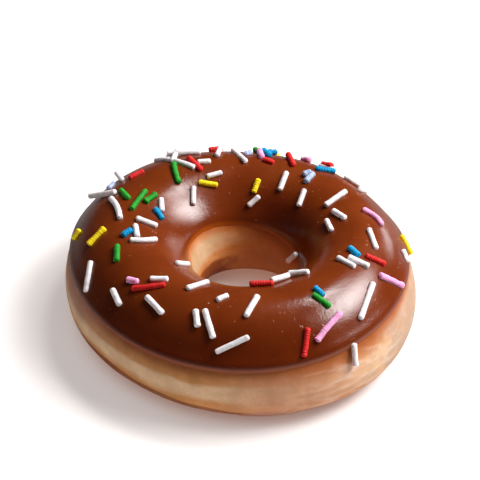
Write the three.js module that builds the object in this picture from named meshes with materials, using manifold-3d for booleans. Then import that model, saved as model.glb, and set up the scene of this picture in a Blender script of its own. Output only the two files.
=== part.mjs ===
// An iced ring doughnut with sprinkles, in millimetres, +Z up.
//
// The origin is the middle of the underside, on the surface that the doughnut stands on.
// A point of the ring is given by two angles, in degrees. "around" runs round the ring: 0 is the
// front (-Y) and 90 the right (+X). "across" runs round the section of the ring: 0 is the outer
// waist, 90 the crown, 180 the side of the hole and -90 the foot.
// "proud" is a height above the bare dough, and "lift" a height above where a sprinkle rests.

import * as THREE from "three";
import { mergeVertices } from "three/addons/utils/BufferGeometryUtils.js";
import Module from "manifold-3d";

// The ring

const OUTER_RADIUS = 46;
const CROWN_RADIUS = 29.5;
const HOLE_RADIUS = 12.3;
const CROWN_HEIGHT = 28.1;
const WAIST_HEIGHT = 9.3;
const FOOT_FLATTENED = 0.5; // how much of the rounded underside is pressed flat
const UPPER_FULLNESS = 1.06; // 1 is a round section, less is squarer
const LOWER_FULLNESS = 0.83;
const AXIS_X = -0.08; // the hole's axis, from the middle of the whole outline
const AXIS_Y = 0.28;

// How uneven a hand-made ring is: each wave is size * cos(lobes * (around - crest)).
const OUTLINE_WAVES = [
  { lobes: 2, size: 2.37, crest: 49 },
  { lobes: 3, size: 0.5, crest: -10 },
  { lobes: 4, size: 0.28, crest: 37 },
];
const HOLE_WAVES = [{ lobes: 1, size: 2.27, crest: 78 }];
const CROWN_WAVES = [
  { lobes: 1, size: 0.5, crest: 76 },
  { lobes: 2, size: 0.3, crest: 30 },
];
const WAIST_WAVES = [{ lobes: 1, size: 0.54, crest: 37 }];
const SHOULDER_SWELL = { size: 0.75, around: 147, across: 57, long: 22, wide: 18 };

// The icing: a thin coat that lies in a shallow bed of the dough

const ICING_EDGE = 24; // across, where the coat ends on the outside
const EDGE_WAVES = [
  { lobes: 1, size: 8.6, crest: 19 },
  { lobes: 2, size: 4.4, crest: 84 },
];
const EDGE_RISE = { size: 8, around: 180, long: 35 }; // the coat ends higher at the back
const ICING_RIM = 150; // across, where the coat ends in the hole
const RIM_WAVES = [{ lobes: 1, size: 6.2, crest: 70 }];
const ICING_PROUD = 0.6;
const ICING_UNDERSIDE = -1.3;
const BED_PROUD = -1.6; // leaves a gap of 0.3 mm under the icing
const LIP_WIDTH = 3; // degrees
const LIP = [
  // The rounded lip from the underside outwards: degrees past the edge, and how proud it stands.
  { past: 1.6, proud: -0.8 },
  { past: 1.6, proud: 0.1 },
  { past: -0.4, proud: 0.52 },
];
const BED_SHOULDER = [
  // The slope from the bare dough down into the bed.
  { past: 6, proud: 0 },
  { past: 2.6, proud: -1.2 },
];

// The steps that the surfaces are made of

const STEPS_AROUND = 60;
const ICING_STEPS = 18;
const BED_STEPS = 8;
const BARE_STEPS = 14;

// The sprinkles

const SPRINKLE_RADIUS = 0.76;
const SPRINKLE_SIDES = 6;
const SPRINKLE_PROUD = ICING_PROUD + 0.28; // its centre line: a third of it is sunk in the icing
const SPRINKLE_DOME = 0.25; // how far a rounded end stands out
const STRAIGHT_LIFT = 0.6; // a straight one touches with its middle, so its ends stand off

// Where the sprinkles lie that face the front: the two ends as [around, across, lift],
// with the middle of a bent one between them. A lifted end rests on another sprinkle.
const SPRINKLES = {
  white: [
    [[-146, 55], [-148.5, 73], [-155, 96]],
    [[-158, 88.5], [-165, 90.5]],
    [[-159, 107.5], [-169.5, 105.5]],
    [[-148, 112.5], [-139.5, 125.5]],
    [[-150, 60, 1.1], [-163, 68.5]],
    [[-148, 78], [-155.5, 56.5, 1.1]],
    [[-151.5, 57], [-153, 44]],
    [[-172, 67, 1], [-169, 82.5]],
    [[-177, 63.5], [176.5, 93.5]],
    [[163, 126], [171.5, 135]],
    [[151.5, 97], [149.5, 118]],
    [[146.5, 47, 0.2], [138, 53.5, 0.3]],
    [[134.5, 108], [129.5, 124.5]],
    [[117.5, 82], [113.5, 110.5]],
    [[107, 107.5], [96.5, 100.5]],
    [[102.5, 116.5], [90, 115]],
    [[131.5, 57, 0.3], [123.5, 53, 0.3]],
    [[119.5, 63], [124, 44]],
    [[-113.5, 66], [-108.5, 74], [-97.5, 81.5]],
    [[-117, 68], [-117, 42, 1.5]],
    [[-127, 61], [-131.5, 47, 1.5]],
    [[-123, 106.5], [-113.5, 113]],
    [[-98.5, 95.5], [-97, 113.5]],
    [[-93, 95.5], [-82, 96]],
    [[-80, 88], [-79, 100.5], [-82.5, 112]],
    [[-47.5, 80], [-40, 91.5]],
    [[-58, 53.5], [-50, 48]],
    [[-42, 66], [-31, 59.5]],
    [[-78, 51], [-72.5, 43], [-68.5, 34]],
    [[61.5, 102], [59, 81]],
    [[63.5, 92.5], [63.5, 71]],
    [[87.5, 80.5], [75.5, 72]],
    [[86.5, 44.5], [82.5, 38]],
    [[58, 62], [43.5, 47.5]],
    [[38, 34], [36.5, 17, 0.2]],
    [[-53, 117], [-59, 135.5]],
    [[-27.5, 90], [-20.5, 113.5]],
    [[-10.5, 85.5], [-5.5, 95]],
    [[-18.5, 71.5], [-15.5, 57.5]],
    [[-14.5, 73.5], [-9, 51]],
    [[2.5, 70.5], [9, 94.5]],
    [[21, 119, 0.9], [36.5, 124.5, 0.6]],
    [[37.5, 126, 0.9], [44.5, 111.5, 0.1]],
    [[99, 154], [107.5, 166.5, 0.4]],
    [[-8, 41.5], [3.5, 55]],
  ],
  red: [
    [[-155.5, 78], [-157.5, 100.5]],
    [[-167.5, 57.5, 0.2], [-173.5, 57, 0.6]],
    [[167.5, 84], [161, 87.5]],
    [[158.5, 62, 0.5], [151, 84]],
    [[146, 46, 1], [140, 52, 1.2]],
    [[-128, 66.5], [-135, 71]],
    [[-50.5, 64], [-45, 72.5], [-38.5, 84.5]],
    [[68.5, 79], [69.5, 69.5], [70.5, 60]],
    [[24.5, 56.5], [20.5, 36]],
    [[7, 120, 0.6], [22, 115.5, 0.3]],
  ],
  green: [
    [[-147.5, 80.5], [-145, 90], [-140.5, 105]],
    [[173, 60.5, 0.5], [173.5, 40, 0.3]],
    [[-119, 70.5], [-113, 83.5]],
    [[-122.5, 93], [-105, 90.5]],
    [[-113.5, 98], [-123.5, 101.5]],
    [[-78.5, 76.5], [-68.5, 70]],
    [[33, 82.5], [36, 65.5]],
  ],
  yellow: [
    [[-152, 110.5], [-164.5, 117]],
    [[168, 51, 1], [164, 43, 0.1]],
    [[166.5, 111], [168.5, 124]],
    [[-100.5, 42.5], [-98, 34]],
    [[-92.5, 69], [-87, 52.5]],
    [[96.5, 41], [91.5, 28]],
  ],
  blue: [
    [[170, 56, 0.5], [165.5, 74, 0.1]],
    [[164, 55.5, 0.6], [167.5, 62.5, 0.2]],
    [[141, 75], [135, 61, 0.3]],
    [[-112.5, 107], [-107, 116]],
    [[-84, 82.5], [-88.5, 92]],
    [[71, 96.5], [66.5, 84]],
    [[36, 89], [36.5, 76.5]],
  ],
  pink: [
    [[171.5, 58, 0.3], [168.5, 81.5]],
    [[153.5, 52.5, 0.1], [148.5, 59, 0.5]],
    [[102.5, 80], [98.5, 70.5], [93.5, 65]],
    [[-56, 67], [-50.5, 72]],
    [[63.5, 61], [69.5, 38]],
    [[26, 45], [32, 53], [38.5, 58]],
  ],
  paleBlue: [
    [[177.5, 76.5], [174, 71]],
    [[139, 84.5], [137.5, 101.5]],
    [[142, 94.5, 0.4], [140, 85.5, 0.4]],
    [[-121.5, 54], [-126, 53.5]],
  ],
};

// The sprinkles low on the back, which lie along the icing's edge
const STREWN_SEED = 7;
const STREWN_COUNT = 5;
const STREWN_AROUND = [138, 222];
const STREWN_ACROSS = [22.5, 26.5];
const STREWN_SLANT = 25;
const STREWN_LENGTH = [4, 7];

const DOUGH = { color: 0xe6bd92, roughness: 0.6, metalness: 0 };
const ICING = { color: 0x6f3416, roughness: 0.22, metalness: 0 };

const radians = THREE.MathUtils.degToRad;
const mix = THREE.MathUtils.lerp;

function wave(around, waves) {
  const heights = waves.map((w) => w.size * Math.cos(radians(w.lobes * (around - w.crest))));
  return heights.reduce((sum, height) => sum + height, 0);
}

// 1 where around is at the given angle, and falling smoothly to 0 over the given width.
function near(around, at, width) {
  const apart = THREE.MathUtils.euclideanModulo(around - at + 180, 360) - 180;
  return Math.exp(-((apart / width) ** 2));
}

// The sizes of the section of the ring at one angle around.
function sectionAt(around) {
  const outer = OUTER_RADIUS + wave(around, OUTLINE_WAVES);
  const hole = HOLE_RADIUS + wave(around, HOLE_WAVES);
  const crownShare = (CROWN_RADIUS - HOLE_RADIUS) / (OUTER_RADIUS - HOLE_RADIUS);
  return {
    outer,
    hole,
    crown: mix(hole, outer, crownShare),
    top: CROWN_HEIGHT + wave(around, CROWN_WAVES),
    waist: WAIST_HEIGHT + wave(around, WAIST_WAVES),
  };
}

// A point of the ring's surface, or of a surface that stands proud of it.
function ringPoint(around, across, proud = 0) {
  const { outer, hole, crown, top, waist } = sectionAt(around);
  const swell =
    SHOULDER_SWELL.size *
    near(around, SHOULDER_SWELL.around, SHOULDER_SWELL.long) *
    near(across, SHOULDER_SWELL.across, SHOULDER_SWELL.wide);
  const out = Math.cos(radians(across));
  const up = Math.sin(radians(across));
  const fullness = up > 0 ? UPPER_FULLNESS : LOWER_FULLNESS;
  const halfWidth = (out > 0 ? outer - crown : crown - hole) + proud + swell;
  const halfHeight = (up > 0 ? top - waist : waist + FOOT_FLATTENED) + proud + swell;
  const radius = crown + halfWidth * Math.sign(out) * Math.abs(out) ** fullness;
  const height = waist + halfHeight * Math.sign(up) * Math.abs(up) ** fullness;
  return new THREE.Vector3(
    AXIS_X + radius * Math.sin(radians(around)),
    AXIS_Y - radius * Math.cos(radians(around)),
    Math.max(height, 0),
  );
}

function icingEdge(around) {
  const rise = EDGE_RISE.size * near(around, EDGE_RISE.around, EDGE_RISE.long);
  return ICING_EDGE + wave(around, EDGE_WAVES) + rise;
}

function icingRim(around) {
  return ICING_RIM + wave(around, RIM_WAVES);
}

// Stations of a section at even steps, both ends included.
function stations(steps, start, end, proud) {
  return Array.from({ length: steps + 1 }, (_, step) => ({
    across: (edge, rim) => mix(start(edge, rim), end(edge, rim), step / steps),
    proud,
  }));
}

// The same stations past the icing's edge and past its rim, the second lot in reverse.
function pastEdge(list) {
  return list.map(({ past, proud }) => ({ across: (edge) => edge - past, proud }));
}

function pastRim(list) {
  return list.map(({ past, proud }) => ({ across: (edge, rim) => rim + past, proud })).reverse();
}

// A closed ring: the section, a closed list of stations with across rising on its outer face,
// is swept round the hole.
function sweptRing(section) {
  const geometry = new THREE.TorusGeometry(CROWN_RADIUS, 1, section.length, STEPS_AROUND);
  const position = geometry.getAttribute("position");
  for (let index = 0; index < position.count; index++) {
    const column = index % (STEPS_AROUND + 1);
    const row = Math.floor(index / (STEPS_AROUND + 1));
    const around = ((column % STEPS_AROUND) * 360) / STEPS_AROUND;
    const { across, proud } = section[row % section.length];
    const place = ringPoint(around, across(icingEdge(around), icingRim(around)), proud);
    position.setXYZ(index, place.x, place.y, place.z);
  }
  return geometry;
}

// The dough, with the bed for the icing on top.
function doughGeometry() {
  const slope = BED_SHOULDER[0].past;
  return sweptRing([
    ...stations(BED_STEPS, (edge) => edge, (edge, rim) => rim, BED_PROUD),
    ...pastRim(BED_SHOULDER),
    ...stations(
      BARE_STEPS,
      (edge, rim) => rim + slope,
      (edge) => edge - slope + 360,
      0,
    ).slice(1, -1),
    ...pastEdge(BED_SHOULDER),
  ]);
}

// The coat of icing, with a rounded lip at its edge and at its rim.
function icingGeometry() {
  return sweptRing([
    ...pastEdge(LIP),
    ...stations(
      ICING_STEPS,
      (edge) => edge + LIP_WIDTH,
      (edge, rim) => rim - LIP_WIDTH,
      ICING_PROUD,
    ),
    ...pastRim(LIP),
    ...stations(BED_STEPS, (edge, rim) => rim, (edge) => edge, ICING_UNDERSIDE),
  ]);
}

function sprinklePoint([around, across, lift = 0]) {
  return ringPoint(around, across, SPRINKLE_PROUD + lift);
}

// Halfway between two angles, the short way round.
function halfway(first, second) {
  const turn = THREE.MathUtils.euclideanModulo(second - first + 180, 360) - 180;
  return first + turn / 2;
}

// The centre line of a sprinkle. A straight one stays straight, so it is moved out until it lies
// on the ring with its middle.
function sprinkleLine(places) {
  const points = places.map(sprinklePoint);
  if (places.length === 2) {
    const [first, last] = places;
    const level = (place) => place[2] ?? 0;
    const crest = sprinklePoint([
      halfway(first[0], last[0]),
      mix(first[1], last[1], 0.5),
      mix(level(first), level(last), 0.5),
    ]);
    const middle = points[0].clone().lerp(points[1], 0.5);
    const lift = crest.sub(middle).multiplyScalar(STRAIGHT_LIFT);
    points.forEach((point) => point.add(lift));
  }
  return new THREE.CatmullRomCurve3(points, false, "centripetal");
}

// One sprinkle: a rod with low domes for ends, bent along its centre line.
function sprinkleGeometry(places) {
  const line = sprinkleLine(places);
  const bends = places.length - 1;
  const inset = SPRINKLE_DOME / line.getLength();
  const rod = new THREE.CylinderGeometry(SPRINKLE_RADIUS, SPRINKLE_RADIUS, 1, SPRINKLE_SIDES, bends);
  const position = rod.getAttribute("position");
  const outward = sprinklePoint(places[0]).sub(ringPoint(places[0][0], places[0][1], -1)).normalize();
  for (let index = 0; index < position.count; index++) {
    const local = new THREE.Vector3().fromBufferAttribute(position, index);
    const along = mix(inset, 1 - inset, 0.5 + local.y);
    const tangent = line.getTangent(along);
    const side = new THREE.Vector3().crossVectors(outward, tangent).normalize();
    const top = new THREE.Vector3().crossVectors(tangent, side);
    const onAxis = Math.hypot(local.x, local.z) < SPRINKLE_RADIUS / 2;
    const place = line.getPoint(along);
    place.addScaledVector(top, local.x);
    place.addScaledVector(side, local.z);
    place.addScaledVector(tangent, onAxis ? SPRINKLE_DOME * Math.sign(local.y) : 0);
    position.setXYZ(index, place.x, place.y, place.z);
  }
  return rod;
}

// Numbers from 0 to 1 that look random and are the same every time.
function seededDraw(seed) {
  let state = seed;
  return () => {
    state = (state * 16807) % 2147483647;
    return state / 2147483647;
  };
}

// The strewn sprinkles, each as its two ends: evenly spaced, with the rest drawn.
function strewnSprinkles() {
  const draw = seededDraw(STREWN_SEED);
  const sectionRadius = (OUTER_RADIUS - HOLE_RADIUS) / 2;
  return Array.from({ length: STREWN_COUNT }, (_, index) => {
    const at = mix(...STREWN_AROUND, (index + draw()) / STREWN_COUNT);
    const over = mix(...STREWN_ACROSS, draw());
    const heading = radians(mix(-STREWN_SLANT, STREWN_SLANT, draw()));
    const half = mix(...STREWN_LENGTH, draw()) / 2;
    const place = ringPoint(at, over);
    const ringRadius = Math.hypot(place.x, place.y);
    const turn = THREE.MathUtils.radToDeg((half * Math.cos(heading)) / ringRadius);
    const tilt = THREE.MathUtils.radToDeg((half * Math.sin(heading)) / sectionRadius);
    return [
      [at - turn, over - tilt],
      [at + turn, over + tilt],
    ];
  });
}

const wasm = await Module();
wasm.setup();

function solidOf(geometry) {
  geometry.deleteAttribute("normal");
  geometry.deleteAttribute("uv");
  const merged = mergeVertices(geometry);
  return new wasm.Manifold(
    new wasm.Mesh({
      numProp: 3,
      vertProperties: merged.getAttribute("position").array,
      triVerts: new Uint32Array(merged.index.array),
    }),
  );
}

function geometryOf(solid) {
  const { vertProperties, triVerts } = solid.getMesh();
  const geometry = new THREE.BufferGeometry();
  geometry.setAttribute("position", new THREE.BufferAttribute(vertProperties, 3));
  geometry.setIndex(new THREE.BufferAttribute(triVerts, 1));
  geometry.computeVertexNormals();
  return geometry;
}

// The icing with every sprinkle fused to it.
function sprinkledIcing() {
  const sprinkles = [...Object.values(SPRINKLES).flat(), ...strewnSprinkles()];
  const coat = solidOf(icingGeometry());
  return geometryOf(sprinkles.reduce((solid, places) => solid.add(solidOf(sprinkleGeometry(places))), coat));
}

function namedMesh(name, geometry, look) {
  const mesh = new THREE.Mesh(geometry, new THREE.MeshStandardMaterial(look));
  mesh.name = name;
  return mesh;
}

const group = new THREE.Group();
group.add(namedMesh("dough_ring", doughGeometry(), DOUGH));
group.add(namedMesh("chocolate_icing", sprinkledIcing(), ICING));

export default group;
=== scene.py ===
# An iced ring doughnut with sprinkles on a pale floor.
#
# Shapes are worked out in millimetres and degrees, and become metres when a mesh is made.
# A point of the ring is given by two angles. "around" runs round the ring: 0 is the front (-Y)
# and 90 the right (+X). "across" runs round the section of the ring: 0 is the outer waist, 90 the
# crown, 180 the side of the hole and -90 the foot. "proud" is a height above the bare dough.

import bpy
import numpy as np
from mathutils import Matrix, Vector, noise


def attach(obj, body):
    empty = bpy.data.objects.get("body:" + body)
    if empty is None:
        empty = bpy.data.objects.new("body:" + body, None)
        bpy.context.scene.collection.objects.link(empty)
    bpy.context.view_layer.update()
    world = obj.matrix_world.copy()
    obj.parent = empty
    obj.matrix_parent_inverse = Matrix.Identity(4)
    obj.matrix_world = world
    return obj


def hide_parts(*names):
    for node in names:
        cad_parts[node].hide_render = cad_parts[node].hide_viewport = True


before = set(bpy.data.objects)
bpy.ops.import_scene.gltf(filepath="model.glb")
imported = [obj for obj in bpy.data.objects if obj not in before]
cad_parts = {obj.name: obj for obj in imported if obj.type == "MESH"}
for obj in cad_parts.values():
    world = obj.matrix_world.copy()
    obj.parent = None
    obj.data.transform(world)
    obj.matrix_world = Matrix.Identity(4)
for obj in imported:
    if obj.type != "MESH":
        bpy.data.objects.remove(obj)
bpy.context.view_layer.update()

MM = 0.001

# The ring, with the same sizes as its CAD solids

OUTER_RADIUS = 46
CROWN_RADIUS = 29.5
HOLE_RADIUS = 12.3
CROWN_HEIGHT = 28.1
WAIST_HEIGHT = 9.3
FOOT_FLATTENED = 0.5
UPPER_FULLNESS = 1.06
LOWER_FULLNESS = 0.83
AXIS_X = -0.08
AXIS_Y = 0.28

# The angle across at the crown. The inside of the ring, towards the hole, is beyond it.
CROWN = 90

# Each wave is size * cos(lobes * (around - crest)), as (lobes, size, crest).
OUTLINE_WAVES = [(2, 2.37, 49), (3, 0.5, -10), (4, 0.28, 37)]
HOLE_WAVES = [(1, 2.27, 78)]
CROWN_WAVES = [(1, 0.5, 76), (2, 0.3, 30)]
WAIST_WAVES = [(1, 0.54, 37)]

# A low swell of the shoulder at the back right. Like every patch below, it is given by the angles
# where it is strongest and the widths over which it falls off, as (angle, width).
SWELL_SIZE = 0.75
SWELL_AROUND = (147, 22)
SWELL_ACROSS = (57, 18)

# The angles across at which the icing ends: its edge outside, and its rim in the hole
ICING_EDGE = 24
EDGE_WAVES = [(1, 8.6, 19), (2, 4.4, 84)]
EDGE_RISE = 8
EDGE_RISE_AROUND = (180, 35)
ICING_RIM = 150
RIM_WAVES = [(1, 6.2, 70)]
ICING_PROUD = 0.6

# The meshes

DOUGH_STEPS_AROUND = 360
DOUGH_STEPS_ACROSS = 240
ICING_STEPS_AROUND = 360
ICING_STEPS_ACROSS = 150
ICING_LIP_STEPS = 9
ICING_UNDER_STEPS = 24
DOUGH_UNDER_ICING = -0.7
ICING_UNDERSIDE = -0.35

# The sprinkles: the two ends of each as (around, across, lift), with the middle of a bent one
# between them. A lifted end rests on another sprinkle.

SPRINKLE_RADIUS = 0.76
SPRINKLE_PROUD = ICING_PROUD + 0.28
STRAIGHT_LIFT = 0.6
SPRINKLE_SIDES = 14
SPRINKLE_RINGS = 72

SPRINKLES = {
    "white": [
        [(-146, 55), (-148.5, 73), (-155, 96)],
        [(-158, 88.5), (-165, 90.5)],
        [(-159, 107.5), (-169.5, 105.5)],
        [(-148, 112.5), (-139.5, 125.5)],
        [(-150, 60, 1.1), (-163, 68.5)],
        [(-148, 78), (-155.5, 56.5, 1.1)],
        [(-151.5, 57), (-153, 44)],
        [(-172, 67, 1), (-169, 82.5)],
        [(-177, 63.5), (176.5, 93.5)],
        [(163, 126), (171.5, 135)],
        [(151.5, 97), (149.5, 118)],
        [(146.5, 47, 0.2), (138, 53.5, 0.3)],
        [(134.5, 108), (129.5, 124.5)],
        [(117.5, 82), (113.5, 110.5)],
        [(107, 107.5), (96.5, 100.5)],
        [(102.5, 116.5), (90, 115)],
        [(131.5, 57, 0.3), (123.5, 53, 0.3)],
        [(119.5, 63), (124, 44)],
        [(-113.5, 66), (-108.5, 74), (-97.5, 81.5)],
        [(-117, 68), (-117, 42, 1.5)],
        [(-127, 61), (-131.5, 47, 1.5)],
        [(-123, 106.5), (-113.5, 113)],
        [(-98.5, 95.5), (-97, 113.5)],
        [(-93, 95.5), (-82, 96)],
        [(-80, 88), (-79, 100.5), (-82.5, 112)],
        [(-47.5, 80), (-40, 91.5)],
        [(-58, 53.5), (-50, 48)],
        [(-42, 66), (-31, 59.5)],
        [(-78, 51), (-72.5, 43), (-68.5, 34)],
        [(61.5, 102), (59, 81)],
        [(63.5, 92.5), (63.5, 71)],
        [(87.5, 80.5), (75.5, 72)],
        [(86.5, 44.5), (82.5, 38)],
        [(58, 62), (43.5, 47.5)],
        [(38, 34), (36.5, 17, 0.2)],
        [(-53, 117), (-59, 135.5)],
        [(-27.5, 90), (-20.5, 113.5)],
        [(-10.5, 85.5), (-5.5, 95)],
        [(-18.5, 71.5), (-15.5, 57.5)],
        [(-14.5, 73.5), (-9, 51)],
        [(2.5, 70.5), (9, 94.5)],
        [(21, 119, 0.9), (36.5, 124.5, 0.6)],
        [(37.5, 126, 0.9), (44.5, 111.5, 0.1)],
        [(99, 154), (107.5, 166.5, 0.4)],
        [(-8, 41.5), (3.5, 55)],
    ],
    "red": [
        [(-155.5, 78), (-157.5, 100.5)],
        [(-167.5, 57.5, 0.2), (-173.5, 57, 0.6)],
        [(167.5, 84), (161, 87.5)],
        [(158.5, 62, 0.5), (151, 84)],
        [(146, 46, 1), (140, 52, 1.2)],
        [(-128, 66.5), (-135, 71)],
        [(-50.5, 64), (-45, 72.5), (-38.5, 84.5)],
        [(68.5, 79), (69.5, 69.5), (70.5, 60)],
        [(24.5, 56.5), (20.5, 36)],
        [(7, 120, 0.6), (22, 115.5, 0.3)],
    ],
    "green": [
        [(-147.5, 80.5), (-145, 90), (-140.5, 105)],
        [(173, 60.5, 0.5), (173.5, 40, 0.3)],
        [(-119, 70.5), (-113, 83.5)],
        [(-122.5, 93), (-105, 90.5)],
        [(-113.5, 98), (-123.5, 101.5)],
        [(-78.5, 76.5), (-68.5, 70)],
        [(33, 82.5), (36, 65.5)],
    ],
    "yellow": [
        [(-152, 110.5), (-164.5, 117)],
        [(168, 51, 1), (164, 43, 0.1)],
        [(166.5, 111), (168.5, 124)],
        [(-100.5, 42.5), (-98, 34)],
        [(-92.5, 69), (-87, 52.5)],
        [(96.5, 41), (91.5, 28)],
    ],
    "blue": [
        [(170, 56, 0.5), (165.5, 74, 0.1)],
        [(164, 55.5, 0.6), (167.5, 62.5, 0.2)],
        [(141, 75), (135, 61, 0.3)],
        [(-112.5, 107), (-107, 116)],
        [(-84, 82.5), (-88.5, 92)],
        [(71, 96.5), (66.5, 84)],
        [(36, 89), (36.5, 76.5)],
    ],
    "pink": [
        [(171.5, 58, 0.3), (168.5, 81.5)],
        [(153.5, 52.5, 0.1), (148.5, 59, 0.5)],
        [(102.5, 80), (98.5, 70.5), (93.5, 65)],
        [(-56, 67), (-50.5, 72)],
        [(63.5, 61), (69.5, 38)],
        [(26, 45), (32, 53), (38.5, 58)],
    ],
    "pale_blue": [
        [(177.5, 76.5), (174, 71)],
        [(139, 84.5), (137.5, 101.5)],
        [(142, 94.5, 0.4), (140, 85.5, 0.4)],
        [(-121.5, 54), (-126, 53.5)],
    ],
}

# The sprinkles low on the back, which lie along the icing's edge
STREWN_SEED = 7
STREWN_AROUND = (138, 222)
STREWN_ACROSS = (22.5, 26.5)
STREWN_SLANT = 25
STREWN_LENGTH = (4, 7)
STREWN_COLOURS = ["white", "pink", "white", "green", "yellow"]

# The camera: how far it looks down, how far it is from the point that it looks at, and where
# that point is in the picture

PICTURE = 480
PIXELS_PER_MM = 3.81
CAMERA_ELEVATION = 39.2
CAMERA_DISTANCE = 500
AIM = Vector((AXIS_X, AXIS_Y, 15.5))
AIM_PIXEL = (239.0, 266.3)
SENSOR_WIDTH = 36


def wave(around, waves):
    return sum(size * np.cos(np.radians(lobes * (around - crest))) for lobes, size, crest in waves)


# 1 at a given angle, about a third at the given width from it, and falling smoothly on to 0.
def near(angle, at, width):
    apart = (angle - at + 180) % 360 - 180
    return np.exp(-((apart / width) ** 2))


def mix(start, end, share):
    return start + (end - start) * share


# 0 below the start, 1 above the end and a smooth step between them.
def smooth_step(value, start, end):
    share = np.clip((value - start) / (end - start), 0, 1)
    return share * share * (3 - 2 * share)


# Points of the ring's surface, or of one that stands proud of it, as an array of (x, y, z).
def ring_points(around, across, proud=0.0):
    around, across, proud = np.broadcast_arrays(around, across, proud)
    outer = OUTER_RADIUS + wave(around, OUTLINE_WAVES)
    hole = HOLE_RADIUS + wave(around, HOLE_WAVES)
    crown = mix(hole, outer, (CROWN_RADIUS - HOLE_RADIUS) / (OUTER_RADIUS - HOLE_RADIUS))
    top = CROWN_HEIGHT + wave(around, CROWN_WAVES)
    waist = WAIST_HEIGHT + wave(around, WAIST_WAVES)
    proud = proud + SWELL_SIZE * near(around, *SWELL_AROUND) * near(across, *SWELL_ACROSS)
    out = np.cos(np.radians(across))
    up = np.sin(np.radians(across))
    fullness = np.where(up > 0, UPPER_FULLNESS, LOWER_FULLNESS)
    half_width = np.where(out > 0, outer - crown, crown - hole) + proud
    half_height = np.where(up > 0, top - waist, waist + FOOT_FLATTENED) + proud
    radius = crown + half_width * np.sign(out) * np.abs(out) ** fullness
    height = waist + half_height * np.sign(up) * np.abs(up) ** fullness
    turn = np.radians(around)
    x = AXIS_X + radius * np.sin(turn)
    y = AXIS_Y - radius * np.cos(turn)
    return np.stack([x, y, np.maximum(height, 0)], axis=-1)


def icing_edge(around):
    return ICING_EDGE + wave(around, EDGE_WAVES) + EDGE_RISE * near(around, *EDGE_RISE_AROUND)


def icing_rim(around):
    return ICING_RIM + wave(around, RIM_WAVES)


# Smooth noise at points in millimetres, from about -1 to 1, with features of the given size.
def lumps(points, size, octaves=1, seed=0):
    shape = points.shape[:-1]
    offset = Vector((seed * 17.3, seed * 5.1, seed * 11.7))
    flat = (points.reshape(-1, 3) / size).tolist()
    if octaves == 1:
        values = [noise.noise(Vector(point) + offset) for point in flat]
    else:
        values = [noise.fractal(Vector(point) + offset, 1.0, 2.0, octaves) for point in flat]
    return np.array(values).reshape(shape)


# Lumps of several sizes added up, each given as (size, height, octaves, seed).
def layered_lumps(points, layers):
    made = [height * lumps(points, size, octaves, seed) for size, height, octaves, seed in layers]
    return sum(made)


def mesh_object(name, points, faces, attributes=None):
    mesh = bpy.data.meshes.new(name)
    mesh.from_pydata((points.reshape(-1, 3) * MM).tolist(), [], faces)
    for attribute, values in (attributes or {}).items():
        layer = mesh.attributes.new(attribute, "FLOAT", "POINT")
        layer.data.foreach_set("value", values.reshape(-1).astype(np.float32))
    mesh.update()
    mesh.shade_smooth()
    piece = bpy.data.objects.new(name, mesh)
    bpy.context.scene.collection.objects.link(piece)
    return piece


# The faces of a grid of points, given by its numbers of rows and columns, that closes on itself
# along its columns, and along its rows too unless it is a tube.
def grid_faces(rows, columns, closed_rows=True, first=0):
    row = np.arange(rows if closed_rows else rows - 1)[:, None]
    column = np.arange(columns)[None, :]
    next_row = (row + 1) % rows
    next_column = (column + 1) % columns
    corners = [
        row * columns + column,
        next_row * columns + column,
        next_row * columns + next_column,
        row * columns + next_column,
    ]
    return (np.stack(corners, axis=-1).reshape(-1, 4) + first).tolist()


# The dough
#
# Each border is given by the two values between which it runs, and each WANDER says how far an
# uneven line strays.

# The dough is bare from just inside the icing's edge and rim.
BARE_BORDER = (-4, -1)

# The low lumps of the dough, and those by which its lines stray, as (size, height, octaves, seed)
DOUGH_LUMPS = [(14, 0.22, 1, 1), (4, 0.07, 2, 2)]
UNEVEN_LUMPS = [(22, 1, 1, 4), (7, 0.5, 2, 5)]

# Low ridges of thin glaze that has run down the front right, drawn out along the ring
RIDGE_AROUND = (37, 20)
RIDGE_BELOW_EDGE = (4, 14)
RIDGE_ABOVE_FOOT = (-45, -20)
RIDGE_DRAWN_OUT = (0.25, 0.3)
RIDGE_SLANT = 0.12
RIDGE_SPACING = 3.4
RIDGE_SHARPNESS = 5
RIDGE_HEIGHT = 0.16

# A drop of the glaze that has set low on the front
DROP_AROUND = (10, 10)
DROP_ACROSS = (-30, 12)
DROP_BORDER = (0.3, 0.5)
DROP_WANDER = 0.15
DROP_HEIGHT = 0.25

# The pale line round the waist, wider where the glaze has run, and the one in the hole
GLAZED_AROUND = (50, 50)
WAIST_LINE = 6.5
WAIST_WANDER = 2.5
WAIST_WIDTH = 9
WAIST_GLAZED_WIDER = 9
WAIST_BELOW_EDGE = (8, 18)
HOLE_LINE = 159
HOLE_WANDER = 5
HOLE_WIDTH = 11
HOLE_LINE_AROUND = (-108, 78)

# The fried foot, which comes up in a sharp, scorched line at the front left, and is lower and
# softer where the glaze has run
FOOT_LINE = 10
FOOT_WANDER = 3
FOOT_BORDER = 4
FOOT_HIGHER = 9
FOOT_HIGHER_AROUND = (-54, 20)
FOOT_GLAZED_LOWER = 12
FOOT_GLAZED_SOFTER = 14
HOLE_FOOT = (170, 177)
HOLE_FOOT_AROUND = (-120, 55)
SCORCH = 0.8
SCORCH_AROUND = (-54, 16)

# The brown stain along the icing, with painted shade and a painted reflection of the icing under
# its lip, wider at the front right and narrower at the right. In the hole it is wider too, but for
# one patch.
STAIN_SHADE_WIDTH = 12
STAIN_SHADE_WANDER = 2
STAIN_SHADE_WIDER = 10
STAIN_SHADE_WIDER_AROUND = (33, 19)
STAIN_SHADE_NARROWER = 6
STAIN_SHADE_NARROWER_AROUND = (78, 26)
HOLE_STAIN_SHADE_SCALE = 0.7
HOLE_STAIN_SHADE_NARROWER_AROUND = (-120, 45)
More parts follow.
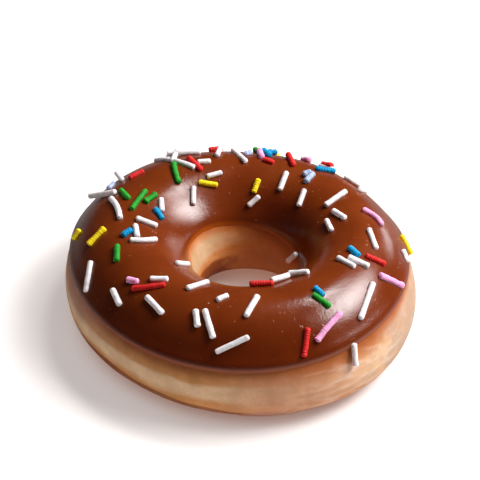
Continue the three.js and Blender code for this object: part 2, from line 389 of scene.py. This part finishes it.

# A brown veil at the front; a darker cream on the right, the glaze's tint and painted shade that
# tones down the light there, less of it low down; and a blush on the left, which the drop of glaze
# has too
VEIL_AROUND = (20, 28)
CREAM_AND_SHADE_AROUND = (88, 45)
CREAM_AND_SHADE_BORDER = (10, 28)
CREAM_AND_SHADE_WANDER = 6
CREAM_AND_SHADE_LOSS = 0.55
BLUSH_AROUND = (-74, 18)
BLUSH_BORDER = (6, 14)


def glaze_ridges(around, across, below_edge):
    run = near(around, *RIDGE_AROUND) * smooth_step(below_edge, *RIDGE_BELOW_EDGE)
    run = run * smooth_step(across, *RIDGE_ABOVE_FOOT)
    along = RIDGE_DRAWN_OUT[0] * around
    aslant = RIDGE_DRAWN_OUT[1] * across + RIDGE_SLANT * around
    wavy = lumps(np.stack([along, aslant, 0 * around], axis=-1), RIDGE_SPACING, 2, seed=3)
    return run * np.clip(1 - RIDGE_SHARPNESS * np.abs(wavy), 0, 1)


def glaze_drop(around, across, uneven):
    patch = near(around, *DROP_AROUND) * near(across, *DROP_ACROSS)
    return smooth_step(patch + DROP_WANDER * uneven, *DROP_BORDER)


def pale_lines(around, across, below_edge, uneven):
    width = WAIST_WIDTH + WAIST_GLAZED_WIDER * near(around, *GLAZED_AROUND)
    waist = near(across, WAIST_LINE + WAIST_WANDER * uneven, width)
    waist = waist * smooth_step(below_edge + STAIN_SHADE_WANDER * uneven, *WAIST_BELOW_EDGE)
    hole = near(across, HOLE_LINE + HOLE_WANDER * uneven, HOLE_WIDTH)
    return np.where(across > CROWN, hole * near(around, *HOLE_LINE_AROUND), waist)


def fried_foot(around, across, uneven):
    glazed = near(around, *GLAZED_AROUND)
    stray = FOOT_WANDER * uneven
    line = FOOT_LINE - FOOT_HIGHER * near(around, *FOOT_HIGHER_AROUND)
    line = line + FOOT_GLAZED_LOWER * glazed + stray
    outside = smooth_step(-across, line, line + FOOT_BORDER + FOOT_GLAZED_SOFTER * glazed)
    hole = smooth_step(across, HOLE_FOOT[0] + stray, HOLE_FOOT[1] + stray)
    return np.where(across > CROWN, hole * near(around, *HOLE_FOOT_AROUND), outside)


# A glaze stain along the icing, with painted shade and a painted reflection of the icing under its
# lip
def icing_stain_and_shade(around, across, below_edge, past_rim, uneven):
    hole_scale = HOLE_STAIN_SHADE_SCALE * (1 + near(around, *HOLE_STAIN_SHADE_NARROWER_AROUND))
    from_icing = np.where(across > CROWN, hole_scale * past_rim, below_edge)
    width = STAIN_SHADE_WIDTH + STAIN_SHADE_WIDER * near(around, *STAIN_SHADE_WIDER_AROUND)
    width = width - STAIN_SHADE_NARROWER * near(around, *STAIN_SHADE_NARROWER_AROUND)
    return 1 - smooth_step(from_icing + STAIN_SHADE_WANDER * uneven, 0, width)


def dough():
    around = np.linspace(-180, 180, DOUGH_STEPS_AROUND, endpoint=False)[:, None]
    across = np.linspace(-90, 270, DOUGH_STEPS_ACROSS, endpoint=False)[None, :]
    around, across = np.broadcast_arrays(around, across)
    base = ring_points(around, across)
    below_edge = icing_edge(around) - across
    past_rim = across - icing_rim(around)
    bare = np.maximum(smooth_step(below_edge, *BARE_BORDER), smooth_step(past_rim, *BARE_BORDER))
    uneven = layered_lumps(base, UNEVEN_LUMPS)
    ridges = glaze_ridges(around, across, below_edge)
    drop = glaze_drop(around, across, uneven)
    relief = layered_lumps(base, DOUGH_LUMPS) + RIDGE_HEIGHT * ridges + DROP_HEIGHT * drop
    points = ring_points(around, across, mix(DOUGH_UNDER_ICING, relief, bare))

    outside = across <= CROWN
    foot = fried_foot(around, across, uneven)
    stain_and_shade = icing_stain_and_shade(around, across, below_edge, past_rim, uneven)
    scorch = SCORCH * foot * near(around, *SCORCH_AROUND) * outside
    low = smooth_step(-across + CREAM_AND_SHADE_WANDER * uneven, *CREAM_AND_SHADE_BORDER)
    blush = near(around, *BLUSH_AROUND) * smooth_step(across, *BLUSH_BORDER) * outside
    attributes = {
        "pale": pale_lines(around, across, below_edge, uneven),
        "foot": foot,
        # The glaze stain with painted shade under the icing, and the scorch on the foot
        "stain_and_shade": bare * np.maximum(stain_and_shade, scorch),
        "veil": near(around, *VEIL_AROUND) * outside,
        # The glaze's cream tint on the right, with painted shade that tones down the light there
        "cream_and_shade": near(around, *CREAM_AND_SHADE_AROUND) * (1 - CREAM_AND_SHADE_LOSS * low) * outside,
        "blush": np.maximum(blush, drop),
        "inside": (~outside).astype(float),
        # The glaze's whitish ridges, with a painted sheen on them
        "smear_and_sheen": ridges,
    }
    return mesh_object("dough", points, grid_faces(*around.shape), attributes)


# The icing: a closed sheet, with a lip that is rounded outside and thins out in the hole

ICING_LUMPS = [(16, 0.1, 1, 11), (5, 0.03, 1, 12)]

# How far the sheet reaches past the icing's edge and rim, and how wide its lips are
PAST_EDGE = 1.6
PAST_RIM = 3
EDGE_LIP = 6
RIM_LIP = 9

# The bead that the icing has run into along its edge, thickest at the front
EDGE_BEAD = 0.42
EDGE_BEAD_WIDTH = 5
EDGE_BEAD_LEAST = 0.6
EDGE_BEAD_AROUND = (0, 60)

# Painted shade, and icing pooled thicker: darker low on the front, and towards the hole at the back
POOLED_SHADE_FRONT_WIDTH = 34
POOLED_SHADE_FRONT_AROUND = (-15, 75)
POOLED_SHADE_BACK_ACROSS = (131, 17)
POOLED_SHADE_BACK_AROUND = (147, 42)


def icing():
    around = np.linspace(-180, 180, ICING_STEPS_AROUND, endpoint=False)[:, None]
    start = icing_edge(around) - PAST_EDGE
    end = icing_rim(around) + PAST_RIM
    rise = 1 - np.cos(np.linspace(0, np.pi / 2, ICING_LIP_STEPS, endpoint=False))

    # Round the sheet: over the lip at the edge, the top, the lip at the rim, and back underneath
    across = np.concatenate(
        [
            start + EDGE_LIP * rise,
            mix(start + EDGE_LIP, end - RIM_LIP, np.linspace(0, 1, ICING_STEPS_ACROSS)),
            end - RIM_LIP * rise[::-1],
            mix(end, start, (np.arange(ICING_UNDER_STEPS) + 1) / (ICING_UNDER_STEPS + 1)),
        ],
        axis=1,
    )
    around = np.broadcast_to(around, across.shape)
    base = ring_points(around, across, ICING_PROUD)
    round_edge = np.clip((across - start) / EDGE_LIP, 0, 1)
    round_rim = np.clip((end - across) / RIM_LIP, 0, 1)
    fullness = np.sqrt(1 - (1 - round_edge) ** 2) * np.sqrt(1 - (1 - round_rim) ** 2)
    bead = EDGE_BEAD * near(across, start + EDGE_LIP, EDGE_BEAD_WIDTH)
    bead = bead * mix(EDGE_BEAD_LEAST, 1, near(around, *EDGE_BEAD_AROUND))
    surface = ICING_PROUD + layered_lumps(base, ICING_LUMPS) + bead
    proud = mix(ICING_UNDERSIDE, surface, fullness)
    proud[:, -ICING_UNDER_STEPS:] = ICING_UNDERSIDE
    points = ring_points(around, across, proud)

    # Painted shade, where the icing also pools thicker: low on the front and towards the hole at
    # the back
    pooled_shade_front = near(across, start + EDGE_LIP, POOLED_SHADE_FRONT_WIDTH) * near(around, *POOLED_SHADE_FRONT_AROUND)
    pooled_shade_back = near(across, *POOLED_SHADE_BACK_ACROSS) * near(around, *POOLED_SHADE_BACK_AROUND)
    attributes = {
        "thin": 1 - round_rim,
        # A painted sheen along the lip: the floor's reflection in the rounded edge
        "lip": 1 - round_edge ** 2,
        "pooled_shade": np.maximum(pooled_shade_front, pooled_shade_back),
    }
    return mesh_object("icing", points, grid_faces(*across.shape), attributes)


# The sprinkles
#
# The ends of a sprinkle are rounded over "end" times its radius, and are the squarer the greater
# "square" is. "bead", "lump" and "bulb" are the shares by which it is beaded along its length,
# lumpy, and at most swollen at its ends. The beads are BEAD_LENGTH apart, give or take, the
# swelling fades over BULB_LENGTH, and the rings of points bunch towards the ends.

FINISHES = {
    "white": {"end": 0.75, "square": 2.6, "bead": 0.015, "lump": 0.08, "bulb": 0.05},
    "coloured": {"end": 0.8, "square": 2.3, "bead": 0.07, "lump": 0.13, "bulb": 0.18},
}
BEAD_LENGTH = 0.6
BEAD_WANDER = 0.6
BEAD_WANDER_SIZE = 1.5
BEAD_FADE_SIZE = 1
BULB_LENGTH = 1.1
LUMP_SIZE = 1.6
WIDTH_RANGE = (0.94, 1.06)
END_BUNCHING = 0.6

# Each number drawn for the strewn sprinkles is the last one times a factor, modulo a prime.
DRAW_FACTOR = 16807
DRAW_PRIME = 2147483647


def sprinkle_point(place):
    around, across, lift = (*place, 0)[:3]
    return ring_points(around, across, SPRINKLE_PROUD + lift)


# The angle halfway between two, the short way round.
def halfway(first, second):
    return first + ((second - first + 180) % 360 - 180) / 2


# The centre line of a sprinkle and its direction at shares of its length from 0 to 1. A bent one
# is a parabola. The ring swells up through the middle of a straight one, which is moved out by the
# share STRAIGHT_LIFT of that.
def sprinkle_line(places, shares):
    points = [sprinkle_point(place) for place in places]
    if len(places) == 2:
        first, last = [(*place, 0)[:3] for place in places]
        crest = sprinkle_point(
            (halfway(first[0], last[0]), (first[1] + last[1]) / 2, (first[2] + last[2]) / 2)
        )
        lift = (crest - (points[0] + points[1]) / 2) * STRAIGHT_LIFT
        ends = [point + lift for point in points]
        points = [ends[0], (ends[0] + ends[1]) / 2, ends[1]]
    middle = np.linalg.norm(points[1] - points[0])
    middle = middle / (middle + np.linalg.norm(points[2] - points[1]))
    share = shares[:, None]
    weights = [
        (share - middle) * (share - 1) / middle,
        share * (share - 1) / (middle * (middle - 1)),
        share * (share - middle) / (1 - middle),
    ]
    line = sum(weight * point for weight, point in zip(weights, points))
    forward = np.gradient(line, axis=0)
    return line, forward / np.linalg.norm(forward, axis=1)[:, None]


# Shares of a sprinkle's length, closer together at its ends.
def sprinkle_shares():
    even = np.linspace(0, 1, SPRINKLE_RINGS)
    return mix(even, (1 - np.cos(np.pi * even)) / 2, END_BUNCHING)


# One sprinkle as rings of points: nearly round, lumpy, and rounded at its ends.
def sprinkle_rod(places, finish, draw):
    shares = sprinkle_shares()
    line, forward = sprinkle_line(places, shares)
    length = np.linalg.norm(np.diff(line, axis=0), axis=1).sum()
    outward = sprinkle_point(places[0]) - ring_points(places[0][0], places[0][1], -1)
    side = np.cross(outward, forward)
    side = side / np.linalg.norm(side, axis=1)[:, None]
    top = np.cross(forward, side)
    to_end = np.minimum(shares, 1 - shares) * length
    inset = np.clip(1 - to_end / (finish["end"] * SPRINKLE_RADIUS), 0, 1)
    profile = (1 - inset ** finish["square"]) ** (1 / finish["square"])
    wander = BEAD_WANDER * lumps(line, BEAD_WANDER_SIZE, seed=21)
    turns = shares * length / BEAD_LENGTH + draw.random() + wander
    faded = 1 + lumps(line, BEAD_FADE_SIZE, seed=22)
    beads = 1 + finish["bead"] * np.cos(2 * np.pi * turns) * faded
    bulbs = 1 + finish["bulb"] * np.exp(-((to_end / BULB_LENGTH) ** 2)) * draw.random()
    angle = np.linspace(0, 2 * np.pi, SPRINKLE_SIDES, endpoint=False)[None, :]
    width = SPRINKLE_RADIUS * mix(*WIDTH_RANGE, draw.random())
    ring = np.cos(angle)[..., None] * top[:, None] + np.sin(angle)[..., None] * side[:, None]
    rough = 1 + finish["lump"] * lumps(line[:, None] + ring * width, LUMP_SIZE, seed=20)
    reach = width * (profile * beads * bulbs)[:, None] * rough
    return line[:, None] + ring * reach[..., None]


def sprinkle_piece(name, rods):
    finish = FINISHES["white" if name == "white" else "coloured"]
    draw = np.random.default_rng(len(name))
    points = []
    faces = []
    for places in rods:
        rod = sprinkle_rod(places, finish, draw)
        first = len(points) * SPRINKLE_RINGS * SPRINKLE_SIDES
        faces += grid_faces(SPRINKLE_RINGS, SPRINKLE_SIDES, closed_rows=False, first=first)
        last = first + (SPRINKLE_RINGS - 1) * SPRINKLE_SIDES
        faces.append([first + side for side in reversed(range(SPRINKLE_SIDES))])
        faces.append([last + side for side in range(SPRINKLE_SIDES)])
        points.append(rod)
    return mesh_object("sprinkles_" + name, np.array(points), faces)


# Numbers from 0 to 1 that look random and are the same every time.
def seeded_draw(seed):
    state = seed
    while True:
        state = state * DRAW_FACTOR % DRAW_PRIME
        yield state / DRAW_PRIME


# The strewn sprinkles as (colour, places): evenly spaced, with the rest drawn.
def strewn_sprinkles():
    draw = seeded_draw(STREWN_SEED)
    section_radius = (OUTER_RADIUS - HOLE_RADIUS) / 2
    made = []
    for index, strewn_colour in enumerate(STREWN_COLOURS):
        at = mix(*STREWN_AROUND, (index + next(draw)) / len(STREWN_COLOURS))
        over = mix(*STREWN_ACROSS, next(draw))
        heading = np.radians(mix(-STREWN_SLANT, STREWN_SLANT, next(draw)))
        half = mix(*STREWN_LENGTH, next(draw)) / 2
        x, y, _ = ring_points(at, over)
        turn = np.degrees(half * np.cos(heading) / np.hypot(x, y))
        tilt = np.degrees(half * np.sin(heading) / section_radius)
        made.append((strewn_colour, [(at - turn, over - tilt), (at + turn, over + tilt)]))
    return made


# Materials

# A colour as it is seen on a screen, from 0 to 255, as the numbers that shaders use.
def colour(red, green, blue):
    seen = np.array([red, green, blue]) / 255
    linear = np.where(seen <= 0.04045, seen / 12.92, ((seen + 0.055) / 1.055) ** 2.4)
    return (*linear.tolist(), 1.0)


class Paint:
    """A material with one shader, and short ways to add the nodes that feed it."""

    def __init__(self, name, **settings):
        self.material = bpy.data.materials.new(name)
        self.material.use_nodes = True
        self.tree = self.material.node_tree
        self.shader = self.tree.nodes["Principled BSDF"]
        for socket, value in settings.items():
            self.shader.inputs[socket.replace("_", " ")].default_value = value
        self.place = self.node("ShaderNodeTexCoord").outputs["Object"]

    def node(self, kind, inputs=None, **settings):
        made = self.tree.nodes.new(kind)
        for key, value in settings.items():
            setattr(made, key, value)
        for key, value in (inputs or {}).items():
            if isinstance(value, bpy.types.NodeSocket):
                self.tree.links.new(value, made.inputs[key])
            else:
                made.inputs[key].default_value = value
        return made

    def attribute(self, name):
        return self.node("ShaderNodeAttribute", attribute_name=name).outputs["Fac"]

    def maths(self, operation, first, second):
        return self.node("ShaderNodeMath", {0: first, 1: second}, operation=operation).outputs[0]

    # Noise from 0 to 1 with features of the given size in millimetres.
    def noise(self, size, detail=2.0, stretch=(1, 1, 1)):
        scale = [share / (size * MM) for share in stretch]
        place = self.node("ShaderNodeVectorMath", {0: self.place, 1: scale}, operation="MULTIPLY")
        texture = self.node(
            "ShaderNodeTexNoise", {"Vector": place.outputs[0], "Scale": 1.0, "Detail": detail}
        )
        return texture.outputs["Fac"]

    # value, where it runs from start to end, as 0 to 1 or between two other numbers
    def spread(self, value, start, end, low=0.0, high=1.0):
        inputs = {0: value, 1: start, 2: end, 3: low, 4: high}
        return self.node("ShaderNodeMapRange", inputs, interpolation_type="SMOOTHSTEP").outputs[0]

    def blend(self, share, first, second, blend_type="MIX"):
        inputs = {0: share, 6: first, 7: second}
        made = self.node("ShaderNodeMix", inputs, data_type="RGBA", blend_type=blend_type)
        return made.outputs[2]

    # tone with a coat of another over it, which covers it by share times strength
    def cover(self, tone, share, over, strength):
        return self.blend(self.maths("MULTIPLY", share, strength), tone, colour(*over))

    def bump(self, height, distance, strength=1.0):
        inputs = {"Height": height, "Distance": distance * MM, "Strength": strength}
        return self.node("ShaderNodeBump", inputs).outputs[0]

    def feed(self, socket, value):
        self.tree.links.new(value, self.shader.inputs[socket])

    def on(self, piece):
        piece.data.materials.append(self.material)


# Most of a noise lies within the first range. The second is for patches with firmer borders, and
# specks form over the third.
NOISE_RANGE = (0.3, 0.7)
PATCH_RANGE = (0.35, 0.65)
SPECK_RANGE = (0.72, 0.78)

# The tones of the dough, outside and in the hole, and those that dapple them
FRIED_TONES = [(224, 154, 88), (198, 122, 62)]
PALE_TONES = [(252, 212, 168), (196, 162, 126)]
FOOT_TONES = [(164, 98, 56), (128, 60, 26)]
DAPPLE_TONES = [(234, 228, 220), (255, 255, 255)]

# The coats on the dough: the tone of each, and the most by which it covers what is under it
VEIL_COAT = ((216, 152, 114), 0.8)
# The glaze's cream tint on the right, with painted shade that tones down the light there
CREAM_AND_SHADE_COAT = ((181, 149, 127), 0.94)
# A glaze stain, with painted shade and a painted reflection of the icing under its lip
STAIN_AND_SHADE_COAT = ((164, 82, 24), 0.95)
BLUSH_COAT = ((196, 142, 124), 0.7)
# The glaze's whitish ridges, with a painted sheen on them
SMEAR_AND_SHEEN_COAT = ((238, 210, 192), 0.6)
GRAIN_COAT = ((226, 218, 208), 0.3)

# The tones that mottle the icing, and its coats: where it pools thicker and lies in painted shade,
# where it thins out in the hole, a painted sheen along its lip, and on its specks
ICING_TONES = [(103, 39, 7), (112, 45, 9)]
POOLED_SHADE_COAT = ((74, 16, 0), 0.6)
THIN_COAT = ((176, 84, 22), 0.85)
# A painted sheen along the lip: the floor's reflection in the rounded edge
LIP_SHEEN_COAT = ((152, 84, 58), 0.8)
SPECK_COAT = ((176, 104, 62), 0.35)

# How far noise makes the borders of the pale lines, the foot and the cream and painted shade
# ragged, and the values of these and of other attributes between which their tones come in
LINE_RAGGED = (-0.12, 0.12)
FOOT_RAGGED = (-0.15, 0.15)
CREAM_AND_SHADE_RAGGED = (-0.16, 0.1)
LINE_FADE = (0.1, 0.9)
FOOT_FADE = (0.3, 0.7)
FOOT_MOST = 0.9
CREAM_AND_SHADE_FADE = (0.1, 0.74)
VEIL_FADE = (0.1, 1.0)
THIN_FADE = (0.35, 1.0)
LIP_SHEEN_FADE = (0.3, 1.0)

# How rough each surface is, how high its bumps are, and how much its grain and specks add to them
DOUGH_ROUGHNESS = (0.4, 0.58)
DOUGH_BUMPS = 0.05
DOUGH_GRAIN = 0.15
ICING_ROUGHNESS = (0.18, 0.23)
ICING_BUMPS = 0.045
ICING_GRAIN = 0.8
ICING_SPECKS = 0.8


def dough_paint():
    paint = Paint(
        "dough",
        Specular_IOR_Level=0.25,
        Subsurface_Weight=0.1,
        Subsurface_Scale=1.0 * MM,
        Subsurface_Radius=(3.0, 1.5, 0.7),
    )
    mottle = paint.noise(5, detail=4)
    streak = paint.noise(3, detail=3, stretch=(0.35, 0.35, 1.5))
    grain = paint.noise(0.7, detail=2)

    streaky = paint.spread(streak, *NOISE_RANGE, *LINE_RAGGED)
    mottled = paint.spread(mottle, *NOISE_RANGE, *FOOT_RAGGED)
    patchy = paint.spread(mottle, *PATCH_RANGE, *CREAM_AND_SHADE_RAGGED)
    line_share = paint.maths("ADD", paint.attribute("pale"), streaky)
    foot_share = paint.maths("ADD", paint.attribute("foot"), mottled)
    cream_and_shade_share = paint.maths("ADD", paint.attribute("cream_and_shade"), patchy)

    inside = paint.attribute("inside")
    fried, pale, low = [
        paint.blend(inside, colour(*outer), colour(*inner))
        for outer, inner in (FRIED_TONES, PALE_TONES, FOOT_TONES)
    ]
    tone = paint.blend(paint.spread(line_share, *LINE_FADE), fried, pale)
    tone = paint.cover(tone, paint.spread(paint.attribute("veil"), *VEIL_FADE), *VEIL_COAT)
    # The glaze's cream tint on the right, with painted shade that tones down the light there
    tone = paint.cover(tone, paint.spread(cream_and_shade_share, *CREAM_AND_SHADE_FADE), *CREAM_AND_SHADE_COAT)
    tone = paint.blend(paint.spread(foot_share, *FOOT_FADE, 0.0, FOOT_MOST), tone, low)
    # The glaze stain with painted shade under the icing's lip, and the scorched foot
    tone = paint.cover(tone, paint.attribute("stain_and_shade"), *STAIN_AND_SHADE_COAT)
    tone = paint.cover(tone, paint.attribute("blush"), *BLUSH_COAT)
    # The glaze's whitish ridges, with a painted sheen on them
    tone = paint.cover(tone, paint.attribute("smear_and_sheen"), *SMEAR_AND_SHEEN_COAT)

    dark, bright = [colour(*seen) for seen in DAPPLE_TONES]
    dapple = paint.blend(paint.spread(mottle, *NOISE_RANGE), dark, bright)
    dapple = paint.cover(dapple, paint.spread(grain, *NOISE_RANGE), *GRAIN_COAT)
    paint.feed("Base Color", paint.blend(1.0, tone, dapple, "MULTIPLY"))
    paint.feed("Roughness", paint.spread(mottle, *NOISE_RANGE, *DOUGH_ROUGHNESS))
    relief = paint.noise(2.4, detail=3)
    relief = paint.maths("ADD", relief, paint.maths("MULTIPLY", grain, DOUGH_GRAIN))
    paint.feed("Normal", paint.bump(relief, DOUGH_BUMPS))
    return paint


def icing_paint():
    paint = Paint("icing", Specular_IOR_Level=0.38)
    mottle = paint.noise(9, detail=3)
    grain = paint.noise(0.5, detail=2)
    speck = paint.spread(paint.noise(1.0, detail=1), *SPECK_RANGE)
    dark, bright = [colour(*seen) for seen in ICING_TONES]
    tone = paint.blend(paint.spread(mottle, *NOISE_RANGE), dark, bright)
    # Darker where the icing pools thicker, and painted shade low on the front and towards the hole
    # at the back
    tone = paint.cover(tone, paint.attribute("pooled_shade"), *POOLED_SHADE_COAT)
    tone = paint.cover(tone, paint.spread(paint.attribute("thin"), *THIN_FADE), *THIN_COAT)
    # A painted sheen along the lip: the floor's reflection in the rounded edge
    tone = paint.cover(tone, paint.spread(paint.attribute("lip"), *LIP_SHEEN_FADE), *LIP_SHEEN_COAT)
    tone = paint.cover(tone, speck, *SPECK_COAT)
    paint.feed("Base Color", tone)
    paint.feed("Roughness", paint.spread(mottle, *NOISE_RANGE, *ICING_ROUGHNESS))
    relief = paint.noise(2.2, detail=2)
    relief = paint.maths("ADD", relief, paint.maths("MULTIPLY", grain, ICING_GRAIN))
    relief = paint.maths("ADD", relief, paint.maths("MULTIPLY", speck, ICING_SPECKS))
    paint.feed("Normal", paint.bump(relief, ICING_BUMPS))
    return paint


# A sprinkle is a little duller in patches.
SPRINKLE_DULL = 0.92
SPRINKLE_BUMPS = 0.04
SPRINKLE_COLOURS = {
    "white": (234, 228, 229),
    "red": (208, 36, 34),
    "green": (34, 146, 38),
    "yellow": (240, 210, 14),
    "blue": (0, 144, 194),
    "pink": (232, 162, 202),
    "pale_blue": (176, 188, 216),
}


def sprinkle_paint(name):
    paint = Paint(
        "sprinkle_" + name,
        Roughness=0.55,
        Specular_IOR_Level=0.2,
        Subsurface_Weight=0.75,
        Subsurface_Scale=1.0 * MM,
        Subsurface_Radius=(1.0, 0.95, 0.9),
    )
    bright = colour(*SPRINKLE_COLOURS[name])
    dull = colour(*[level * SPRINKLE_DULL for level in SPRINKLE_COLOURS[name]])
    patchy = paint.spread(paint.noise(1.1, detail=2), *PATCH_RANGE)
    paint.feed("Base Color", paint.blend(patchy, dull, bright))
    paint.feed("Normal", paint.bump(paint.noise(0.35, detail=2), SPRINKLE_BUMPS))
    return paint


def add_piece(piece, paint, replaced):
    paint.on(piece)
    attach(piece, "root")
    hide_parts(replaced)


add_piece(dough(), dough_paint(), "dough_ring")
add_piece(icing(), icing_paint(), "chocolate_icing")
strewn = strewn_sprinkles()
for name, rods in SPRINKLES.items():
    more = [places for strewn_colour, places in strewn if strewn_colour == name]
    piece = sprinkle_piece(name, rods + more)
    add_piece(piece, sprinkle_paint(name), "chocolate_icing")


# The floor, the light and the camera

WORLD_LIGHT = 0.04
FLOOR_SIZE = 10.0
FLOOR_TONE = (202, 200, 199)

# The floor glows a little: fully where at least the share FLOOR_OPEN of the sky is free of things
# within FLOOR_GLOW_REACH, and less, and browner, the more of the sky they hide.
FLOOR_GLOW = 0.48
FLOOR_GLOW_REACH = 75
FLOOR_OPEN = 0.64
FLOOR_GLOW_TONE = (255, 246, 243)
FLOOR_SHADE_TONE = (180, 140, 124)

# The share of the floor's light that its mirror image in the icing lacks
FLOOR_DIMMED = 0.77

# Each softbox is given by its direction, its width and height in metres and its power. It is
# brightest in the middle and fades out between the two distances SOFTBOX_FADE from there, which
# are shares of its width and height.
SOFTBOX_DISTANCE = 0.9
SOFTBOX_FADE = (0.12, 0.52)
SOFTBOXES = {
    "key": {"around": 103, "elevation": 48, "size": (0.84, 0.6), "power": 42},
    "side_window": {"around": 141, "elevation": 61, "size": (0.34, 0.24), "power": 8},
    "back_card": {"around": 142, "elevation": 10, "size": (0.4, 0.14), "power": 1.8},
}


# A unit vector at an angle around, where 0 is the front, and at an elevation.
def direction(around, elevation):
    turn = np.radians(around)
    rise = np.radians(elevation)
    return Vector((np.sin(turn) * np.cos(rise), -np.cos(turn) * np.cos(rise), np.sin(rise)))


def add_floor():
    half = FLOOR_SIZE / 2
    corners = [(-half, -half, 0), (half, -half, 0), (half, half, 0), (-half, half, 0)]
    mesh = bpy.data.meshes.new("floor")
    mesh.from_pydata(corners, [], [(0, 1, 2, 3)])
    floor = bpy.data.objects.new("floor", mesh)
    bpy.context.scene.collection.objects.link(floor)
    paint = Paint("floor", Roughness=0.7, Emission_Strength=FLOOR_GLOW)
    reach = {"Distance": FLOOR_GLOW_REACH * MM}
    open_sky = paint.node("ShaderNodeAmbientOcclusion", reach, samples=8).outputs["AO"]
    openness = paint.spread(open_sky, 0.0, FLOOR_OPEN)
    glow = paint.blend(openness, colour(*FLOOR_SHADE_TONE), colour(*FLOOR_GLOW_TONE))
    mirrored = paint.node("ShaderNodeLightPath").outputs["Is Glossy Ray"]
    dimmed = paint.maths("MULTIPLY", mirrored, FLOOR_DIMMED)
    black = colour(0, 0, 0)
    paint.feed("Emission Color", paint.blend(dimmed, glow, black))
    paint.feed("Base Color", paint.blend(dimmed, colour(*FLOOR_TONE), black))
    paint.on(floor)


def add_softbox(name, box):
    light = bpy.data.lights.new(name, "AREA")
    light.shape = "RECTANGLE"
    light.size, light.size_y = box["size"]
    light.energy = box["power"]
    light.use_nodes = True
    tree = light.node_tree
    place = tree.nodes.new("ShaderNodeNewGeometry").outputs["Parametric"]
    from_middle = tree.nodes.new("ShaderNodeVectorMath")
    from_middle.operation = "DISTANCE"
    from_middle.inputs[1].default_value = (0.5, 0.5, 0)
    fade = tree.nodes.new("ShaderNodeMapRange")
    fade.interpolation_type = "SMOOTHSTEP"
    for socket, value in zip(fade.inputs[1:5], (*SOFTBOX_FADE, 1.0, 0.0)):
        socket.default_value = value
    tree.links.new(place, from_middle.inputs[0])
    tree.links.new(from_middle.outputs["Value"], fade.inputs[0])
    tree.links.new(fade.outputs[0], tree.nodes["Emission"].inputs["Strength"])
    lamp = bpy.data.objects.new(name, light)
    towards = direction(box["around"], box["elevation"])
    lamp.location = towards * SOFTBOX_DISTANCE
    lamp.rotation_euler = towards.to_track_quat("Z", "Y").to_euler()
    bpy.context.scene.collection.objects.link(lamp)


def add_camera():
    camera = bpy.data.cameras.new("camera")
    camera.sensor_width = SENSOR_WIDTH
    camera.lens = PIXELS_PER_MM * CAMERA_DISTANCE * SENSOR_WIDTH / PICTURE
    camera.shift_x = (PICTURE / 2 - AIM_PIXEL[0]) / PICTURE
    camera.shift_y = (AIM_PIXEL[1] - PICTURE / 2) / PICTURE
    holder = bpy.data.objects.new("camera", camera)
    towards = direction(0, CAMERA_ELEVATION)
    holder.location = (AIM + towards * CAMERA_DISTANCE) * MM
    holder.rotation_euler = towards.to_track_quat("Z", "Y").to_euler()
    bpy.context.scene.collection.objects.link(holder)
    bpy.context.scene.camera = holder


add_floor()
for name, box in SOFTBOXES.items():
    add_softbox(name, box)
add_camera()

world = bpy.data.worlds.new("studio")
world.use_nodes = True
world.node_tree.nodes["Background"].inputs["Color"].default_value = (1, 1, 1, 1)
world.node_tree.nodes["Background"].inputs["Strength"].default_value = WORLD_LIGHT
bpy.context.scene.world = world
bpy.context.scene.view_settings.view_transform = "Standard"
